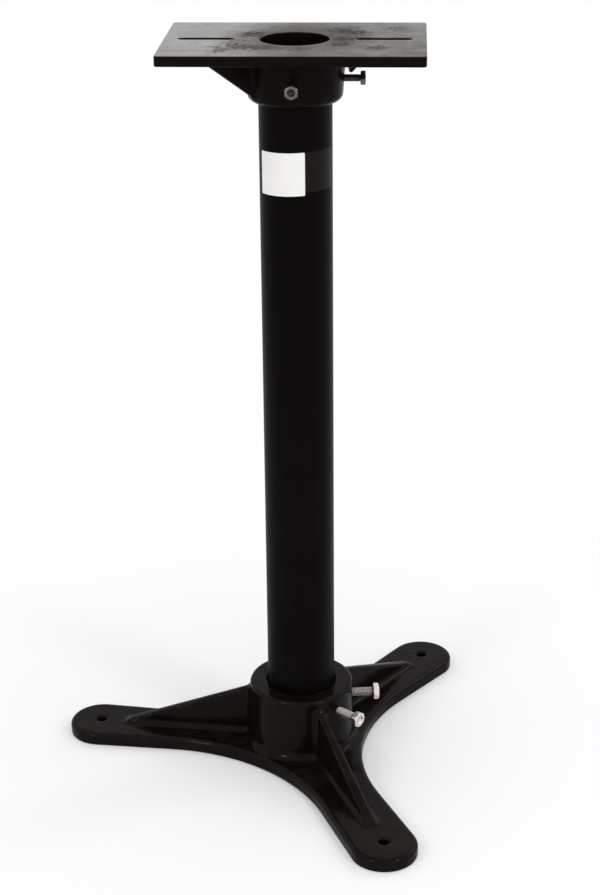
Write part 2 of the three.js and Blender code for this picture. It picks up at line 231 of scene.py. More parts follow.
# Fineness of the tube and the plate, and the angles past which edges stay sharp
TUBE_SIDES = 128
HOLE_SIDES = 96
SLOT_END_SIDES = 24
CORNER_SIDES = 8
PLATE_EDGE_ROWS = 3
WELD_GAP = 1e-6
CREASE = math.radians(40)
FINE_CREASE = math.radians(35)
TUBE_CREASE = math.radians(30)

# Studio, with each lamp's place, the size of its soft box and its power
ROOM_LIGHT = 0.8
FLOOR_HALF_SIZE = 12.0
FLOOR_DROP = 0.0002
FLOOR_FADE = 0.75
SEEN_RAYS = ("Camera", "Glossy", "Transmission")
LAMP_TARGET = Vector((0.0, 0.0, 0.3))
LAMPS = {
    "right_light": ((1.5, -1.3, 1.7), (0.4, 0.6), 10),
    "left_light": ((-1.3, -1.7, 1.5), (0.4, 0.6), 9),
    "rear_light": ((1.6, 1.0, 1.5), (0.4, 0.8), 5),
}

# Camera, with the image as 600 by 895
IMAGE_HEIGHT = 895
FOCAL_LENGTH_IN_PIXELS = 1971.55
SENSOR = 36.0
CAMERA_PLACE = (0.11787, -1.99109, 1.21426)
CAMERA_HEADING = 0.0585339
CAMERA_PITCH = 0.3978100
CAMERA_ROLL = -0.0101369


# Shader graphs
class Wire:
    """The output of a shader node. Sums on it add Math nodes."""

    def __init__(self, graph, socket):
        self.graph = graph
        self.socket = socket

    def maths(self, operation, first, second):
        settings = {"operation": operation}
        return self.graph.node("ShaderNodeMath", settings, {0: first, 1: second})

    def __add__(self, other):
        return self.maths("ADD", self, other)

    def __sub__(self, other):
        return self.maths("SUBTRACT", self, other)

    def __rsub__(self, other):
        return self.maths("SUBTRACT", other, self)

    def __mul__(self, other):
        return self.maths("MULTIPLY", self, other)

    __radd__ = __add__
    __rmul__ = __mul__


class Graph:
    """A node tree, with one method for any node and short ones for the nodes used most."""

    def __init__(self, tree):
        self.tree = tree
        tree.nodes.clear()

    def node(self, kind, settings=None, sockets=None, output=0):
        """Any node: its settings first, then its sockets' values or links."""
        node = self.tree.nodes.new(kind)
        for name, value in (settings or {}).items():
            setattr(node, name, value)
        for name, value in (sockets or {}).items():
            if isinstance(value, Wire):
                self.tree.links.new(value.socket, node.inputs[name])
            else:
                node.inputs[name].default_value = value
        return Wire(self, node.outputs[output]) if node.outputs else None

    def place(self):
        return self.node("ShaderNodeTexCoord", output="Object")

    def stretched(self, vector, scale):
        return self.node("ShaderNodeVectorMath", {"operation": "MULTIPLY"}, {0: vector, 1: scale})

    def parts(self, vector):
        return [self.node("ShaderNodeSeparateXYZ", None, {0: vector}, axis) for axis in "XYZ"]

    def grain(self, vector, size, detail=3.0, roughness=0.55):
        """Noise whose lumps are about as large as size."""
        sockets = {"Vector": vector, "Scale": 1 / size, "Detail": detail, "Roughness": roughness}
        return self.node("ShaderNodeTexNoise", None, sockets)

    def rise(self, value, low, high):
        """0 below low, 1 above high, and smooth between. With low above high it falls."""
        sockets = {"Value": value, "From Min": low, "From Max": high}
        return self.node("ShaderNodeMapRange", {"interpolation_type": "SMOOTHSTEP"}, sockets)

    def blend(self, mask, first, second):
        sockets = {"Factor": mask, 6: first, 7: second}
        return self.node("ShaderNodeMix", {"data_type": "RGBA"}, sockets, 2)

    def spot(self, vector, centre, radius):
        """1 at a point, fading to 0 at the radius."""
        sockets = {0: vector, 1: centre}
        gap = self.node("ShaderNodeVectorMath", {"operation": "DISTANCE"}, sockets, "Value")
        return self.rise(gap, radius, 0.0)

    def facing_up(self):
        normal = self.node("ShaderNodeNewGeometry", None, None, "Normal")
        return self.parts(normal)[2]

    def eased_normal(self, radius):
        return self.node("ShaderNodeBevel", {"samples": 6}, {"Radius": radius})

    def edges(self, radius):
        """How far the surface turns within the radius: near 0 on flats, higher on edges."""
        normal = self.node("ShaderNodeNewGeometry", None, None, "Normal")
        sockets = {0: self.eased_normal(radius), 1: normal}
        settings = {"operation": "DOT_PRODUCT"}
        return 1 - self.node("ShaderNodeVectorMath", settings, sockets, "Value")

    def ridges(self, low, high):
        """1 where the mesh bends outwards sharply, 0 on flats and in hollows."""
        bend = self.node("ShaderNodeNewGeometry", None, None, "Pointiness")
        return self.rise(bend, low, high)

    def hollows(self, reach, deep, open_face=0.97):
        """1 in a recess that sees less of the sky than deep, 0 on an open face."""
        settings = {"samples": 16, "only_local": True}
        open_sky = self.node("ShaderNodeAmbientOcclusion", settings, {"Distance": reach}, "AO")
        return self.rise(open_sky, open_face, deep)

    def bumped(self, height, depth, strength, normal=None):
        sockets = {"Height": height, "Distance": depth, "Strength": strength}
        if normal:
            sockets["Normal"] = normal
        return self.node("ShaderNodeBump", None, sockets)


def colour(red, green, blue):
    return (red, green, blue, 1.0)


WHITE = colour(1.0, 1.0, 1.0)
WARM = colour(1.0, 0.88, 0.80)


def surface(name, build):
    """A material whose shader's sockets hold what build(graph) says."""
    material = bpy.data.materials.new(name)
    material.use_nodes = True
    graph = Graph(material.node_tree)
    shader = graph.node("ShaderNodeBsdfPrincipled", None, build(graph))
    graph.node("ShaderNodeOutputMaterial", None, {"Surface": shader})
    return material


def cast_paint(graph, place, edges):
    """Black paint on sand-cast iron, lightened at its edges as rubbed wear and painted highlight:
    tint, roughness, gloss and height.
    """
    lumps = graph.grain(place, 0.014, 2.0)
    sand = graph.grain(place, 0.0022, 4.0, 0.62)
    pits = graph.rise(graph.grain(place, 0.0042, 2.0), 0.66, 0.74)
    dust_cover = graph.rise(graph.facing_up(), 0.55, 0.98)
    dust = dust_cover * graph.rise(graph.grain(place, 0.035, 5.0, 0.6), 0.42, 0.72)
    # Painted highlight: stretches of the edges are lightened as worn paint, which also stands in
    # for glints along the edges.
    rubbed_and_highlit = graph.rise(graph.grain(place, 0.026, 3.0), 0.46, 0.68)
    wear_and_painted_highlight = edges * rubbed_and_highlit * graph.rise(sand, 0.44, 0.64)
    paint = graph.blend(lumps, colour(0.0034, 0.0023, 0.0019), colour(0.0060, 0.0041, 0.0033))
    dusty = graph.blend(dust * 0.5, paint, colour(0.0180, 0.0124, 0.0098))
    scuffed_and_highlit = graph.blend(wear_and_painted_highlight * 0.5, dusty, colour(0.060, 0.050, 0.044))
    roughness = 0.16 + sand * 0.12 + dust * 0.14
    gloss = graph.rise(sand + lumps * 0.3 - dust * 0.2, 0.30, 0.95)
    height = lumps * 1.3 + sand * 0.6 - pits * 0.5
    return scuffed_and_highlit, roughness, gloss, height


def base_finish(graph):
    """Glossy cast paint, lightened along the casting's ridges as rubbed wear and painted highlight.
    """
    edges = graph.ridges(0.512, 0.540)
    tint, roughness, gloss, height = cast_paint(graph, graph.place(), edges)
    return {
        "Base Color": tint,
        "Roughness": roughness,
        "Specular IOR Level": 0.015,
        "Specular Tint": WARM,
        "Coat Weight": 0.07 + gloss * 0.08,
        "Coat Roughness": 0.12,
        "Normal": graph.bumped(height, CAST_SKIN_DEPTH, SKIN_STRENGTH),
    }


def ground_iron(graph, place):
    """The plate's bare upper face: grinding marks along X, pores, a dull film and brown stains,
    with painted shade darkening it towards the right and painted light lifting it towards the back.
    """
    along = graph.grain(graph.stretched(place, (9.0, 700.0, 1.0)), 1.0, 4.0, 0.6)
    fine = graph.grain(graph.stretched(place, (40.0, 2600.0, 1.0)), 1.0, 2.0)
    scores = graph.grain(graph.stretched(place, (16.0, 330.0, 1.0)), 1.0, 3.0)
    cloud = graph.grain(graph.stretched(place, (1.0, 1.6, 1.0)), 0.030, 4.0, 0.6)
    mottle = graph.grain(graph.stretched(place, (1.0, 0.7, 1.0)), 0.0055, 6.0, 0.70)
    pores = graph.rise(graph.grain(place, 0.0016, 2.0), 0.66, 0.76)
    x, y, _ = graph.parts(place)
    round_hole = graph.spot(place, (0.004, 0.006, PLATE_TOP), 0.098)
    # Painted shade darkens the face towards the right and painted light lifts it towards the back;
    # round the hole the dark film is a real stain.
    painted_shade_to_right = graph.rise(x, -0.11, 0.03)
    painted_light_to_back = graph.rise(y, -0.085, 0.085)
    film_stain_and_painted_shade = round_hole * 0.66 + painted_shade_to_right * 0.36 - painted_light_to_back * 0.14 + 0.05
    film = graph.rise(cloud * 0.6 + along * 0.3 + film_stain_and_painted_shade, 0.30, 1.10)
    stains = mottle * 2.2 - 0.83 + round_hole * 0.14
    for stain_x, stain_y, radius, weight in PLATE_STAINS:
        stains = stains + graph.spot(place, (stain_x, stain_y, PLATE_TOP), radius) * weight
    halo = graph.rise(stains, 0.34, 0.78)
    stain = graph.rise(stains, 0.54, 0.98)
    streaks = graph.rise(along + fine * 0.3, 0.35, 0.95)
    bare = graph.blend(streaks, colour(0.270, 0.264, 0.258), colour(0.480, 0.474, 0.468))
    # This dark blend carries the painted shade and light as well as the real film.
    filmed_and_painted_shade = graph.blend(film, bare, colour(0.110, 0.098, 0.088))
    scored = graph.blend(graph.rise(scores, 0.55, 0.72) * 0.4, filmed_and_painted_shade, colour(0.070, 0.060, 0.052))
    pored = graph.blend(pores * 0.45, scored, colour(0.050, 0.041, 0.034))
    browned = graph.blend(halo * 0.5, pored, colour(0.070, 0.056, 0.046))
    tint = graph.blend(stain * 0.9, browned, colour(0.032, 0.023, 0.017))
    roughness = 0.44 + along * 0.12 + film * 0.08 + halo * 0.12
    height = fine * 0.5 + along * 0.5 - pores * 0.6
    return tint, roughness, height


def plate_finish(graph):
    """Cast paint up to the plate's edge, and bare ground iron on its upper face."""
    place = graph.place()
    z = graph.parts(place)[2]
    bare = graph.rise(z, PLATE_TOP - PAINT_BELOW_TOP, PLATE_TOP - IRON_BELOW_TOP)
    # This edge mask lightens the paint's edges as wear and painted highlight.
    edges = graph.rise(graph.edges(0.0022), 0.05, 0.30)
    paint, paint_roughness, _, paint_height = cast_paint(graph, place, edges)
    iron, iron_roughness, iron_height = ground_iron(graph, place)
    height = paint_height * (1 - bare) * CAST_SKIN_DEPTH + iron_height * bare * GRINDING_DEPTH
    return {
        "Base Color": graph.blend(bare, paint, iron),
        "Roughness": paint_roughness * (1 - bare) + iron_roughness * bare,
        "Metallic": bare,
        "Specular IOR Level": 0.03,
        "Normal": graph.bumped(height, 1.0, SKIN_STRENGTH),
    }


def tube_finish(graph):
    """Smooth black paint on drawn tube: faint lengthwise lines, orange peel and dust low down."""
    place = graph.place()
    peel = graph.grain(place, 0.0026, 2.0)
    lines = graph.grain(graph.stretched(place, (500.0, 500.0, 6.0)), 1.0, 3.0)
    cloud = graph.grain(place, 0.06, 4.0, 0.6)
    low_down = graph.rise(graph.parts(place)[2], 0.55, 0.05)
    haze = low_down * graph.rise(cloud, 0.35, 0.75)
    paint = graph.blend(cloud, colour(0.0014, 0.0012, 0.0012), colour(0.0028, 0.0023, 0.0022))
    return {
        "Base Color": graph.blend(haze * 0.5, paint, colour(0.0075, 0.0062, 0.0055)),
        "Roughness": 0.34 + lines * 0.08 + haze * 0.12,
        "Specular IOR Level": 0.03,
        "Specular Tint": WARM,
        "Normal": graph.bumped(peel + lines * 0.4, 0.0002, 0.25),
    }


def zinc(graph, dark, light, oxide_and_painted_reflection_tint, deep):
    """Zinc plate: fine drawn scratches, cloudy passivation, dull oxide that also paints dark
    reflections, and grime with painted shade in its hollows.
    """
    place = graph.place()
    cloud = graph.grain(place, 0.004, 4.0, 0.6)
    scratch = graph.grain(graph.stretched(place, (1500.0, 1500.0, 300.0)), 1.0, 3.0)
    # Painted reflection: the oxide patches also darken the plating in place of dark reflections.
    oxide_and_painted_reflection = graph.rise(graph.grain(place, 0.0022, 3.0), 0.58, 0.76)
    # Painted shade: the plating darkens where ambient occlusion finds recesses, as grime and as the
    # shade in the threads and the head's dish.
    grime_and_painted_shade = graph.hollows(0.005, deep)
    plating = graph.blend(oxide_and_painted_reflection * 0.5, graph.blend(cloud, dark, light), oxide_and_painted_reflection_tint)
    return {
        "Base Color": graph.blend(grime_and_painted_shade, plating, colour(0.030, 0.021, 0.016)),
        "Roughness": 0.24 + cloud * 0.14 + oxide_and_painted_reflection * 0.18 + grime_and_painted_shade * 0.2,
        "Metallic": 1.0,
        "Normal": graph.bumped(scratch, 0.00006, 0.4, graph.eased_normal(0.0003)),
    }


def bright_zinc_finish(graph):
    """The base bolts' bright plating."""
    dark, light = colour(0.63, 0.55, 0.53), colour(0.77, 0.69, 0.67)
    return zinc(graph, dark, light, colour(0.48, 0.40, 0.37), 0.42)


def painted_dark_zinc_finish(graph):
    """The plate bolts' plating, darkened as a painted dark reflection."""
    dark, light = colour(0.076, 0.063, 0.056), colour(0.21, 0.193, 0.183)
    return zinc(graph, dark, light, colour(0.05, 0.036, 0.029), 0.74)


def paper_finish(graph):
    """Bare white paper: fibres and a faint unevenness."""
    place = graph.place()
    fibre = graph.grain(graph.stretched(place, (900.0, 900.0, 2200.0)), 1.0, 4.0, 0.65)
    cloud = graph.grain(place, 0.02, 3.0)
    paper = graph.blend(cloud, colour(0.80, 0.79, 0.77), colour(0.88, 0.87, 0.855))
    return {
        "Base Color": graph.blend(fibre * 0.12, paper, colour(0.62, 0.60, 0.57)),
        "Roughness": 0.55 + fibre * 0.2,
        "Specular IOR Level": 0.3,
        "Normal": graph.bumped(fibre, 0.00008, 0.3),
    }


def film_finish(graph):
    """Dark satin film, a little paler than the paint under it, with light scuffs."""
    place = graph.place()
    cloud = graph.grain(place, 0.012, 4.0, 0.6)
    scratch = graph.grain(graph.stretched(place, (260.0, 260.0, 700.0)), 1.0, 3.0)
    scuff = graph.rise(scratch, 0.56, 0.72)
    film = graph.blend(cloud, colour(0.0050, 0.0040, 0.0040), colour(0.0100, 0.0080, 0.0076))
    return {
        "Base Color": graph.blend(scuff * 0.4, film, colour(0.026, 0.021, 0.020)),
        "Roughness": 0.30 + scuff * 0.2 + cloud * 0.08,
        "Specular IOR Level": 0.07,
        "Specular Tint": WARM,
        "Normal": graph.bumped(cloud + scuff * 0.2, 0.0001, 0.3),
    }


def seen_directly(graph):
    """1 for what the camera sees, straight or in a reflection, and 0 for light on surfaces."""
    rays = [graph.node("ShaderNodeLightPath", None, None, f"Is {ray} Ray") for ray in SEEN_RAYS]
    return graph.rise(sum(rays[1:], rays[0]), 0.0, 1.0)


def floor_finish():
    """Pale matt floor that fades to plain white away from the stand, and keeps its shadow."""
    material = bpy.data.materials.new("pale_floor")
    material.use_nodes = True
    graph = Graph(material.node_tree)
    place = graph.place()
    cloud = graph.grain(place, 0.4, 3.0)
    sockets = {
        "Base Color": graph.blend(cloud, colour(0.95, 0.95, 0.95), colour(0.97, 0.97, 0.97)),
        "Roughness": 0.85 + cloud * 0.1,
        "Specular IOR Level": 0.1,
    }
    matt = graph.node("ShaderNodeBsdfPrincipled", None, sockets)
    white = graph.node("ShaderNodeEmission", None, {"Color": WHITE, "Strength": 1.0})
    near = graph.spot(place, (0.0, 0.0, 0.0), FLOOR_FADE)
    shares = {0: (1 - near) * seen_directly(graph), 1: matt, 2: white}
    shader = graph.node("ShaderNodeMixShader", None, shares)
    graph.node("ShaderNodeOutputMaterial", None, {"Surface": shader})
    return material


# Mesh helpers
def add_object(name, data):
    obj = bpy.data.objects.new(name, data)
    bpy.context.scene.collection.objects.link(obj)
    return obj


def mesh_object(name, points, faces, crease=CREASE):
    mesh = bpy.data.meshes.new(name)
    mesh.from_pydata(points, [], faces)
    mesh.shade_smooth()
    mesh.set_sharp_from_angle(angle=crease)
    return add_object(name, mesh)


def evaluated_mesh(obj):
    """A copy of an object's mesh, with its modifiers or its curve's bevel in it."""
    bpy.context.view_layer.update()
    evaluated = obj.evaluated_get(bpy.context.evaluated_depsgraph_get())
    return bpy.data.meshes.new_from_object(evaluated)


def dress(obj, body, node, material):
    """Puts a finished piece on its body, in place of the plain node if it has one."""
    obj.data.materials.clear()
    obj.data.materials.append(material)
    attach(obj, body)
    if node:
        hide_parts(node)


def ring_faces(rows, sides, closed=False):
    """Quads between rings of points that lie one after the other."""
    faces = []
    for row in range(rows if closed else rows - 1):
        after = (row + 1) % rows
        for side in range(sides):
            beside = (side + 1) % sides
            ring = (row * sides + side, row * sides + beside)
            faces.append((*ring, after * sides + beside, after * sides + side))
    return faces


def fuse(first, second, fillet):
    """Distance to two bodies joined, with a hollow fillet between them."""
    corner = np.hypot(np.maximum(fillet - first, 0), np.maximum(fillet - second, 0))
    return np.maximum(fillet, np.minimum(first, second)) - corner


def meet(first, second, edge):
    """Distance to what two bodies share, with the edge between them rounded."""
    corner = np.hypot(np.maximum(edge + first, 0), np.maximum(edge + second, 0))
    return np.minimum(-edge, np.maximum(first, second)) + corner


def capsule(along, across, start, end, half_width):
    """Distance in the plane to a straight slot with round ends."""
    nearest = np.clip(along, start + half_width, end - half_width)
    return np.hypot(along - nearest, across) - half_width


def slid(distance, points, nudge, rounds):
    """Points moved along a distance field's slope until they lie on its surface."""
    for _ in range(rounds):
        value = distance(*points.T)
        slope = np.stack([
            (distance(*(points + shift).T) - distance(*(points - shift).T)) / (2 * nudge)
            for shift in np.eye(3) * nudge
        ], 1)
        steep = np.maximum((slope ** 2).sum(1), GENTLEST_SLOPE ** 2)
        points = points - slope * (value / steep)[:, None]
    return points


def evened(points, quads):
    """Each point moved to the middle of its neighbours."""
    sides = np.concatenate([quads[:, [corner, (corner + 1) % 4]] for corner in range(4)])
    here, there = np.concatenate([sides, sides[:, ::-1]]).T
    sums = [np.bincount(here, points[there, axis], len(points)) for axis in range(3)]
    return np.stack(sums, 1) / np.bincount(here, minlength=len(points))[:, None]


def skin(distance, low, high, step):
    """Points and quads of the surface where a distance field is zero: one point for each cell
    that the surface crosses, slid onto the surface and evened out along it."""
    axes = [np.arange(start, end + step, step) for start, end in zip(low, high)]
    inside = distance(*np.meshgrid(*axes, indexing="ij", sparse=True)) < 0
    count = sum(
        inside[i:i - 1 or None, j:j - 1 or None, k:k - 1 or None].astype(int)
        for i in (0, 1) for j in (0, 1) for k in (0, 1)
    )
    crossed = (count > 0) & (count < 8)
    number = np.full(crossed.shape, -1)
    number[crossed] = np.arange(crossed.sum())
    quads = []
    for axis in range(3):
        solid = np.moveaxis(inside, axis, 0)
        cell = np.moveaxis(number, axis, 0)
        i, j, k = np.nonzero(solid[:-1, 1:-1, 1:-1] != solid[1:, 1:-1, 1:-1])
        ring = [cell[i, j, k], cell[i, j + 1, k], cell[i, j + 1, k + 1], cell[i, j, k + 1]]
        ring = np.stack(ring, 1)
        outward = solid[i, j + 1, k + 1] ^ (axis == 1)
        quads.append(np.where(outward[:, None], ring, ring[:, ::-1]))
    quads = np.concatenate(quads)
    nudge = step * NUDGE_SHARE
    cells = zip(axes, np.nonzero(crossed))
    middles = np.stack([axis[cell] + step / 2 for axis, cell in cells], 1)
    points = slid(distance, middles, nudge, SLIDE_ROUNDS)
    for _ in range(EVEN_ROUNDS):
        points = slid(distance, evened(points, quads), nudge, RESEAT_ROUNDS)
    return points, quads


def skin_ripple(points):
    """How far a slow noise draws each point of a cast skin towards the casting's inside."""
    waves = [noise.noise(Vector(point) / SKIN_WAVE_LENGTH) for point in points]
    return SKIN_WAVE * (np.array(waves) * 0.5 + 0.5)


# Base casting
def leg_frame(x, y):
    """Reach along and across the nearest leg's centre line."""
    sector = math.pi / LEG_COUNT
    turn = np.arctan2(y, x) - LEG_TURN - math.pi
    turn = np.abs((turn + sector) % (2 * sector) - sector)
    reach = np.hypot(x, y)
    return reach * np.cos(turn), reach * np.sin(turn)


def leg_plan(along, across):
    """Distance to the base's outline from above: round pads that run into hollow waists."""
    waist_y = NECK_REACH * math.tan(math.pi / LEG_COUNT)
    waist_radius = waist_y - NECK_HALF_WIDTH
    gap = math.hypot(NECK_REACH - PAD_REACH, waist_y)
    lean = math.acos((waist_radius + PAD_END_RADIUS) / gap)
    square = math.atan2(waist_y, NECK_REACH - PAD_REACH) - lean
    out_along, out_across = math.cos(square), math.sin(square)
    pad = np.hypot(along - PAD_REACH, across) - PAD_END_RADIUS
    waist = waist_radius - np.hypot(along - NECK_REACH, across - waist_y)
    side = (along - PAD_REACH) * out_along + across * out_across - PAD_END_RADIUS
    on_pad = (along - PAD_REACH) * out_across - across * out_along > 0
    on_waist = (along - NECK_REACH) * out_across - (across - waist_y) * out_along < 0
    return np.where(on_pad, pad, np.where(on_waist, waist, side))


def hub_body(reach, z):
    """The hub, drawn in a little towards its round rim."""
    height = (z - LEG_THICKNESS) / (HUB_HEIGHT - LEG_THICKNESS)
    return meet(reach - HUB_RADIUS + HUB_DRAFT * height, z - HUB_HEIGHT, HUB_RIM_RADIUS)


def rib_body(along, across, z):
    """A rib that falls straight from under the hub's rim to a round nose at the pad."""
    fall = (RIB_TOP - RIB_NOSE_TOP) / (RIB_NOSE_REACH - RIB_NOSE_RADIUS - HUB_RADIUS)
    slant = (z - RIB_TOP + fall * (along - HUB_RADIUS)) / math.hypot(1, fall)
    profile = meet(np.maximum(slant, z - RIB_TOP), along - RIB_NOSE_REACH, RIB_NOSE_RADIUS)
    height = (z - LEG_THICKNESS) / (RIB_TOP - LEG_THICKNESS)
    return meet(profile, across - RIB_HALF_THICKNESS + RIB_DRAFT * height, RIB_EDGE_RADIUS)


def bolt_height(node):
    """Height of a clamp bolt's axis."""
    low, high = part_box(node)
    return (low.z + high.z) / 2


def bolt_holes(x, y, z, size):
    """Distances to the holes for one size of clamp bolt, from the column's axis outwards."""
    holes = []
    for node, clamp in CLAMP_BOLTS.items():
        if clamp.size is size:
            axis_x, axis_y, _ = JOINTS[clamp.joint]["axis"]
            off_axis = np.hypot(y * axis_x - x * axis_y, z - bolt_height(node))
            holes.append(np.maximum(off_axis - size.hole_radius, -x * axis_x - y * axis_y))
    return holes


def base_distance(x, y, z):
    """The legs, hub and ribs, less the pockets, the bore and the holes."""
    along, across = leg_frame(x, y)
    reach = np.hypot(x, y)
    body = meet(leg_plan(along, across), z - LEG_THICKNESS, LEG_EDGE_RADIUS)
    body = fuse(body, hub_body(reach, z), HUB_FOOT_FILLET)
    body = fuse(body, rib_body(along, across, z), RIB_FILLET)
    pocket = capsule(along, across, POCKET_START, POCKET_END, POCKET_HALF_WIDTH)
    pocket = meet(pocket, z - POCKET_DEPTH, 2 * MOULD_EDGE)
    bore = np.maximum(reach - BORE_RADIUS, LEG_THICKNESS - z)
    floor_hole = np.hypot(along - PAD_REACH, across) - FLOOR_HOLE_RADIUS
    for space in [pocket, bore] + bolt_holes(x, y, z, BASE_BOLT):
        body = meet(body, -space, MOULD_EDGE)
    body = meet(body, -floor_hole, HOLE_EDGE)
    return meet(body, -z, FOOT_EDGE)


def base_casting(material):
    """The base in one piece, with a slightly wavy cast skin on its outside."""
    margin = GRID_MARGIN * CASTING_STEP
    reach = PAD_REACH + PAD_END_RADIUS + margin
    low = (-reach, -reach, -FLOOR_MARGIN * CASTING_STEP)
    high = (reach, reach, HUB_HEIGHT + margin)
    points, quads = skin(base_distance, low, high, CASTING_STEP)
    obj = mesh_object("ribbed_base", points, quads)
    normals = np.array([vertex.normal for vertex in obj.data.vertices])
    off_floor = (points[:, 2] / CASTING_STEP).clip(0, 1)
    off_underside = normals[:, 2] > UNDERSIDE_TILT
    off_bore = np.hypot(points[:, 0], points[:, 1]) > BORE_RADIUS + CASTING_STEP
    drawn_in = skin_ripple(points) * off_floor * off_underside * off_bore
    points = points - normals * drawn_in[:, None]
    obj.data.vertices.foreach_set("co", points.astype(np.float32).ravel())
    obj.data.update()
    dress(obj, "base", "base_casting", material)


# Column tube
def column_tube(material):
    """The tube with its wall and its eased outer edges."""
    inner = TUBE_RADIUS - TUBE_WALL
    eased = TUBE_RADIUS - TUBE_LIP
    outline = [
        (inner, TUBE_LOW.z), (eased, TUBE_LOW.z), (TUBE_RADIUS, TUBE_LOW.z + TUBE_LIP),
        (TUBE_RADIUS, TUBE_HIGH.z - TUBE_LIP), (eased, TUBE_HIGH.z), (inner, TUBE_HIGH.z),
    ]
    points = []
    for radius, height in outline:
        for side in range(TUBE_SIDES):
            turn = 2 * math.pi * side / TUBE_SIDES
            points.append((radius * math.cos(turn), radius * math.sin(turn), height))
    faces = ring_faces(len(outline), TUBE_SIDES, closed=True)
    obj = mesh_object("painted_column", points, faces, TUBE_CREASE)
    dress(obj, "column", "column_tube", material)


# Top plate casting
def socket_distance(x, y, z):
    """The socket and its webs, with a thin root that reaches into the plate."""
    reach = np.hypot(x, y)
    height = (z - SOCKET_BOTTOM) / (PLATE_BOTTOM - SOCKET_BOTTOM)
    wall = reach - SOCKET_FOOT_RADIUS - SOCKET_DRAFT * height
    body = meet(wall, SOCKET_BOTTOM - z, SOCKET_RIM_RADIUS)
    rearward = x * math.cos(WEB_ANGLE) + y * math.sin(WEB_ANGLE)
    across = np.abs(y * math.cos(WEB_ANGLE) - x * math.sin(WEB_ANGLE))
    along = np.abs(rearward)
    foot = SOCKET_BOTTOM + WEB_FOOT_RISE
    climb = (PLATE_BOTTOM - foot) / (WEB_REACH - SOCKET_FOOT_RADIUS)
    slant = (foot + climb * (along - SOCKET_FOOT_RADIUS) - z) / math.hypot(1, climb)
    web = meet(np.maximum(slant, foot - z), across - WEB_HALF_THICKNESS, WEB_EDGE_RADIUS)
    relief = capsule(z, rearward - RELIEF_REACH, SOCKET_BOTTOM, RELIEF_TOP, RELIEF_HALF_WIDTH)
    web = meet(web, -relief, MOULD_EDGE)
    near = np.minimum(body, web) - CASTING_FILLET
    body = fuse(body, web, CASTING_FILLET)
    body = fuse(body, PLATE_BOTTOM + FILLET_BITE - z, CASTING_FILLET)
    for space in [reach - BORE_RADIUS] + bolt_holes(x, y, z, PLATE_BOLT):
        body = meet(body, -space, MOULD_EDGE)
    root = z - PLATE_BOTTOM - PLATE_OVERLAP
    return np.maximum(np.maximum(body, root), near)


def arc(centre_x, centre_y, radius, start, end, sides):
    """Points along an arc, both ends among them."""
    return [
        (centre_x + radius * math.cos(turn), centre_y + radius * math.sin(turn))
        for turn in np.linspace(start, end, sides)
    ]


def plate_outlines():
    """The plate's rounded rectangle, its hole over the column and its two slots."""
    quarter = math.pi / 2
    x, y = PLATE_HIGH.x - PLATE_CORNER_RADIUS, PLATE_HIGH.y - PLATE_CORNER_RADIUS
    rim = []
    for corner, (corner_x, corner_y) in enumerate(((x, y), (-x, y), (-x, -y), (x, -y))):
        start = corner * quarter
        rim += arc(corner_x, corner_y, PLATE_CORNER_RADIUS, start, start + quarter, CORNER_SIDES)
    hole_end = 4 * quarter * (1 - 1 / HOLE_SIDES)
    hole = arc(0, 0, PLATE_HOLE_RADIUS, 0, hole_end, HOLE_SIDES)
    outlines = [rim, hole]
    near, far = SLOT_END - SLOT_LENGTH + SLOT_HALF_WIDTH, SLOT_END - SLOT_HALF_WIDTH
    for left, right in ((near, far), (-far, -near)):
        slot = arc(right, 0, SLOT_HALF_WIDTH, -quarter, quarter, SLOT_END_SIDES)
        slot += arc(left, 0, SLOT_HALF_WIDTH, quarter, 3 * quarter, SLOT_END_SIDES)
        outlines.append(slot)
    return outlines


def ground_plate():
    """The flat plate with its edges eased, made as a filled outline with holes."""
    curve = bpy.data.curves.new("plate_outline", "CURVE")
    curve.dimensions = "2D"
    curve.fill_mode = "BOTH"
    for outline in plate_outlines():
        spline = curve.splines.new("POLY")
        spline.points.add(len(outline) - 1)
        for point, (x, y) in zip(spline.points, outline):
            point.co = (x, y, 0, 1)
        spline.use_cyclic_u = True
    curve.extrude = PLATE_THICKNESS / 2 - PLATE_EDGE_RADIUS
    curve.bevel_depth = PLATE_EDGE_RADIUS
    curve.bevel_resolution = PLATE_EDGE_ROWS
    curve.offset = -PLATE_EDGE_RADIUS
    shape = add_object("plate_outline", curve)
    shape.location.z = PLATE_TOP - PLATE_THICKNESS / 2
    mesh = evaluated_mesh(shape)
    mesh.transform(shape.matrix_world)
    bpy.data.objects.remove(shape)
    welded = bmesh.new()
    welded.from_mesh(mesh)
    bmesh.ops.remove_doubles(welded, verts=welded.verts, dist=WELD_GAP)
    bmesh.ops.recalc_face_normals(welded, faces=welded.faces)
    welded.to_mesh(mesh)
    welded.free()
    return add_object("slotted_plate", mesh)


def top_plate(material):
    """The ground plate, with its socket and webs joined under it."""
    margin = GRID_MARGIN * SOCKET_STEP
    reach = WEB_REACH + margin
    low = (-reach, -reach, SOCKET_BOTTOM - margin)
    high = (reach, reach, PLATE_BOTTOM + PLATE_OVERLAP + margin)
    points, quads = skin(socket_distance, low, high, SOCKET_STEP)
    socket = mesh_object("plate_socket", points, quads)
    obj = ground_plate()
    join = obj.modifiers.new("socket", "BOOLEAN")
    join.operation = "UNION"
    join.solver = "EXACT"
    join.object = socket
    mesh = evaluated_mesh(obj)
    obj.modifiers.clear()
    obj.data = mesh
    bpy.data.objects.remove(socket)
    mesh.shade_smooth()
    mesh.set_sharp_from_angle(angle=FINE_CREASE)
    dress(obj, "plate", "top_plate", material)


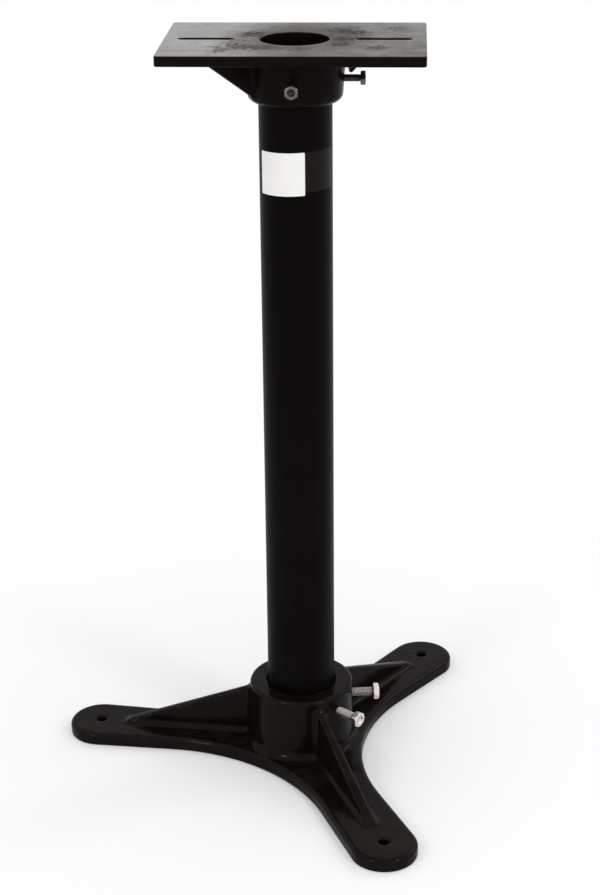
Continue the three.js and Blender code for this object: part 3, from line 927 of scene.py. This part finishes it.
# Clamp bolts
def bolt_rows(size, head_turn):
    """Rings of a hex bolt along Z from its tip: each a height, and a radius for each side."""
    turn = np.linspace(0, 2 * math.pi, BOLT_SIDES, endpoint=False)
    depth = THREAD_SHARE * size.pitch
    root = size.radius - depth
    hexagon = size.flat_radius / np.cos((turn + head_turn) % HEX_SECTOR - HEX_SECTOR / 2)
    rows = []
    for height in np.arange(0, size.length - size.pitch, size.pitch / THREAD_ROWS):
        phase = (height / size.pitch - turn / (2 * math.pi)) % 1
        crest = np.clip(THREAD_STEEPNESS * (1 - 2 * np.abs(phase - 0.5)), 0, 1)
        tip = size.radius - BOLT_TIP_CHAMFER + height
        rows.append((height, np.minimum(root + depth * crest, tip)))
    top = size.length + size.head_height
    face = size.length + HEAD_FACE_HEIGHT
    face_radius = size.flat_radius * HEAD_FACE_SHARE
    rows += [(size.length - size.pitch, root), (size.length, root)]
    rows += [(size.length, face_radius), (face, face_radius), (face, hexagon)]
    for drop in np.linspace(HEAD_CHAMFER_HEIGHT, 0, HEAD_CHAMFER_ROWS):
        cone = size.flat_radius * HEAD_TOP_SHARE + drop / math.tan(HEAD_CHAMFER_ANGLE)
        rows.append((top - drop, np.minimum(hexagon, cone)))
    for share in HEAD_DISH_STEPS:
        radius = size.flat_radius * HEAD_DISH_SHARE * (1 - HEAD_DISH_TAPER * share ** 2)
        rows.append((top - HEAD_DISH_DEPTH * share, radius))
    return turn, rows


def clamp_bolt(node, clamp, material):
    """A hex bolt along its joint's axis, with its tip just short of the tube."""
    turn, rows = bolt_rows(clamp.size, clamp.head_turn)
    points = []
    for height, radius in rows:
        radius = np.broadcast_to(radius, turn.shape)
        level = np.full(turn.shape, height)
        points += list(zip(radius * np.cos(turn), radius * np.sin(turn), level))
    faces = ring_faces(len(rows), BOLT_SIDES)
    faces.append(tuple(reversed(range(BOLT_SIDES))))
    faces.append(tuple(range((len(rows) - 1) * BOLT_SIDES, len(rows) * BOLT_SIDES)))
    obj = mesh_object(node.replace("clamp_bolt", "hex_bolt"), points, faces, FINE_CREASE)
    axis = Vector(JOINTS[clamp.joint]["axis"])
    tip = axis * BOLT_TIP_REACH + Vector((0, 0, bolt_height(node)))
    along_axis = axis.to_track_quat("Z", "Y").to_matrix().to_4x4()
    obj.data.transform(Matrix.Translation(tip) @ along_axis)
    dress(obj, clamp.body, node, material)


# Stickers
def sheet_faces(rows, columns):
    """Quads of a thin closed sheet: its front, its back, whose points come after the front's
    in the same order, and the rim between them."""
    back = rows * columns
    faces = []
    for row in range(rows - 1):
        for column in range(columns - 1):
            here = row * columns + column
            above = here + columns
            faces.append((here, here + 1, above + 1, above))
            faces.append((back + here, back + above, back + above + 1, back + here + 1))
    rim = list(range(columns))
    rim += [row * columns + columns - 1 for row in range(1, rows)]
    rim += [(rows - 1) * columns + column for column in reversed(range(columns - 1))]
    rim += [row * columns for row in reversed(range(1, rows - 1))]
    for here, after in zip(rim, rim[1:] + rim[:1]):
        faces.append((after, here, back + here, back + after))
    return faces


def sticker_heights(half_height):
    """Heights of a sticker's rows about its middle, closer together in its round corners."""
    row_turn = math.pi / 2 / STICKER_CORNER_ROWS
    turns = [row * row_turn for row in range(STICKER_CORNER_ROWS)]
    eased = [STICKER_CORNER * (1 - math.cos(turn)) for turn in turns]
    straight = half_height - STICKER_CORNER
    heights = [height - half_height for height in eased]
    heights += list(np.linspace(-straight, straight, STICKER_ROWS))
    return heights + [half_height - height for height in reversed(eased)]


def sticker(name, label, material):
    """A thin sheet wrapped round the tube, with small round corners."""
    half_height = (label.high - label.low) / 2
    half_width = TUBE_RADIUS * (label.end - label.start) / 2
    heights = sticker_heights(half_height)
    points = []
    for lift in (STICKER_FRONT_LIFT, STICKER_BACK_LIFT):
        radius = TUBE_RADIUS + lift
        for height in heights:
            into_corner = max(abs(height) - half_height + STICKER_CORNER, 0)
            trim = STICKER_CORNER - math.sqrt(max(STICKER_CORNER ** 2 - into_corner ** 2, 0))
            for along in np.linspace(trim - half_width, half_width - trim, STICKER_COLUMNS):
                turn = (label.start + label.end) / 2 + along / TUBE_RADIUS
                z = (label.low + label.high) / 2 + height + label.slope * along
                points.append((radius * math.cos(turn), radius * math.sin(turn), z))
    obj = mesh_object(name, points, sheet_faces(len(heights), STICKER_COLUMNS))
    dress(obj, "column", None, material)


# Stage
def floor():
    half = FLOOR_HALF_SIZE
    points = [(-half, -half, 0), (half, -half, 0), (half, half, 0), (-half, half, 0)]
    obj = mesh_object("floor", points, [(0, 1, 2, 3)])
    obj.location.z = -FLOOR_DROP
    obj.data.materials.append(floor_finish())


def soft_box(name, place, size, power):
    """A lamp aimed at the lower column."""
    light = bpy.data.lights.new(name, "AREA")
    light.shape = "RECTANGLE"
    light.size, light.size_y = size
    light.energy = power
    obj = add_object(name, light)
    obj.location = place
    obj.rotation_euler = (LAMP_TARGET - Vector(place)).to_track_quat("-Z", "Y").to_euler()


def studio():
    """White all round to the eye and in reflections, with a lower even light on surfaces."""
    world = bpy.data.worlds.new("studio")
    world.use_nodes = True
    graph = Graph(world.node_tree)
    strength = seen_directly(graph) * (1 - ROOM_LIGHT) + ROOM_LIGHT
    background = graph.node("ShaderNodeBackground", None, {"Color": WHITE, "Strength": strength})
    graph.node("ShaderNodeOutputWorld", None, {"Surface": background})
    bpy.context.scene.world = world
    for name, (place, size, power) in LAMPS.items():
        soft_box(name, place, size, power)


def camera():
    """A camera at the photograph's viewpoint, with no shift."""
    lens = bpy.data.cameras.new("camera")
    lens.sensor_width = SENSOR
    lens.lens = FOCAL_LENGTH_IN_PIXELS * SENSOR / IMAGE_HEIGHT
    obj = add_object("camera", lens)
    turn = Matrix.Rotation(CAMERA_HEADING, 4, "Z")
    tilt = Matrix.Rotation(math.pi / 2 - CAMERA_PITCH, 4, "X")
    roll = Matrix.Rotation(CAMERA_ROLL, 4, "Z")
    obj.matrix_world = Matrix.Translation(CAMERA_PLACE) @ turn @ tilt @ roll
    bpy.context.scene.camera = obj


# The stand, its stage and its camera
base_casting(surface("black_cast_paint", base_finish))
column_tube(surface("black_tube_paint", tube_finish))
top_plate(surface("ground_plate_and_cast_paint", plate_finish))
plating = {
    BASE_BOLT: surface("bright_zinc", bright_zinc_finish),
    # The plate bolts' plating is darkened as a painted dark reflection.
    PLATE_BOLT: surface("painted_dark_zinc", painted_dark_zinc_finish),
}
for bolt_node, bolt_clamp in CLAMP_BOLTS.items():
    clamp_bolt(bolt_node, bolt_clamp, plating[bolt_clamp.size])
sticker("white_sticker", WHITE_STICKER, surface("white_paper", paper_finish))
sticker("dark_sticker", DARK_STICKER, surface("dark_film", film_finish))
floor()
studio()
camera()
bpy.context.scene.view_settings.view_transform = "Standard"
